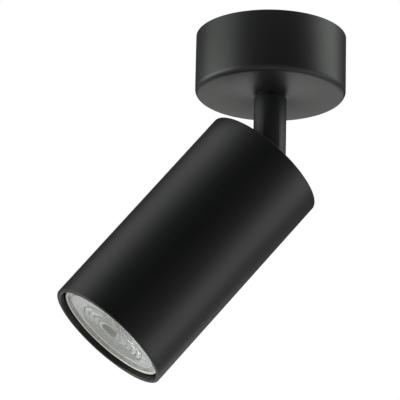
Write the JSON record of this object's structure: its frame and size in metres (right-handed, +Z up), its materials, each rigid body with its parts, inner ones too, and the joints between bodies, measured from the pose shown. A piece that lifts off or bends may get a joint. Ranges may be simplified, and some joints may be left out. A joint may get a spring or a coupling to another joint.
{
  "type": "ceiling spotlight",
  "caption": "Surface mounted ceiling spotlight: round canopy, short swivelling stem and a tilting cylindrical head with a twist-in reflector lamp.",
  "frame": {"origin": "midway between the two ceiling screws, in the ceiling plane", "axes": "+Z up to the ceiling, along the pan axis; +Y along the tilt axis; at rest the head leans towards -X"},
  "size_m": [0.1184, 0.0636, 0.1527],
  "materials": {
    "black_coated_steel": "satin black powder coat over drawn steel",
    "black_coated_aluminium": "satin black powder coat over turned aluminium",
    "zinc_plated_steel": "bright zinc plate",
    "spring_steel": "oiled",
    "brass": "turned",
    "nickel_brass": "nickel plated",
    "black_rubber": "moulded",
    "white_nylon": "moulded",
    "black_nylon": "moulded",
    "white_ceramic": "unglazed steatite",
    "lamp_plastic": "moulded thermoplastic",
    "clear_lens": "clear moulded lens",
    "board_white": "white solder mask on an aluminium core",
    "board_green": "glass laminate",
    "phosphor": "cast silicone",
    "brown_wire": "silicone sleeve",
    "blue_wire": "silicone sleeve",
    "earth_wire": "green and yellow silicone sleeve",
    "white_sleeve": "braided glass fibre sleeve"
  },
  "bodies": {
    "canopy": {"ceiling_bracket": "zinc_plated_steel", "cable_grommet": "black_rubber", "canopy_cup": "black_coated_steel", "canopy_screws": "spring_steel", "stop_pin": "zinc_plated_steel", "pan_bush": "white_nylon", "stem_washer": "black_nylon", "terminal_block": "white_nylon", "terminal_inserts": "brass", "terminal_screws": "zinc_plated_steel", "block_screws": "zinc_plated_steel", "earth_tag": "zinc_plated_steel", "earth_screw": "brass", "live_wire": "brown_wire", "neutral_wire": "blue_wire", "earth_wire": "earth_wire", "earth_link": "earth_wire"},
    "stem": {"stem": "black_coated_aluminium", "pan_spindle": "zinc_plated_steel", "stop_washer": "zinc_plated_steel", "pan_spring_washer": "spring_steel", "pan_lock_nut": "zinc_plated_steel", "spindle_bush": "white_nylon", "stem_lead": "white_sleeve"},
    "head": {"head_knuckle": "black_coated_aluminium", "pivot_screw": "spring_steel", "pivot_washer": "spring_steel", "pivot_nut": "spring_steel", "head_tube": "black_coated_aluminium", "rear_plate": "black_coated_aluminium", "rear_plate_screws": "spring_steel", "knuckle_washer": "spring_steel", "knuckle_nut": "zinc_plated_steel", "holder_bracket": "zinc_plated_steel", "bracket_screws": "zinc_plated_steel", "holder_front": "white_ceramic", "holder_back": "white_ceramic", "holder_contacts": "brass", "holder_screws": "zinc_plated_steel", "holder_nuts": "zinc_plated_steel", "head_lead": "white_sleeve", "holder_live_wire": "brown_wire", "holder_neutral_wire": "blue_wire", "head_earth_tag": "zinc_plated_steel", "head_earth_screw": "brass", "head_earth_wire": "earth_wire"},
    "lamp": {"lamp_housing": "lamp_plastic", "lamp_base": "lamp_plastic", "lamp_pins": "nickel_brass", "driver_board": "board_green", "led_board": "board_white", "led_emitter": "phosphor", "lamp_lens": "clear_lens"}
  },
  "joints": [
    {"name": "pan", "type": "hinge", "parent": "canopy", "child": "stem", "pos_m": [0, 0, -0.0265], "axis": [0, 0, 1], "range_deg": [-165, 165]},
    {"name": "tilt", "type": "hinge", "parent": "stem", "child": "head", "pos_m": [0, 0, -0.0543], "axis": [0, 1, 0], "range_deg": [-118.8, 41.2]},
    {"name": "lamp_twist", "type": "hinge", "parent": "head", "child": "lamp", "pos_m": [-0.03277, 0, -0.09506], "axis": [-0.6266, 0, -0.7793], "range_deg": [0, 25]}
  ]
}
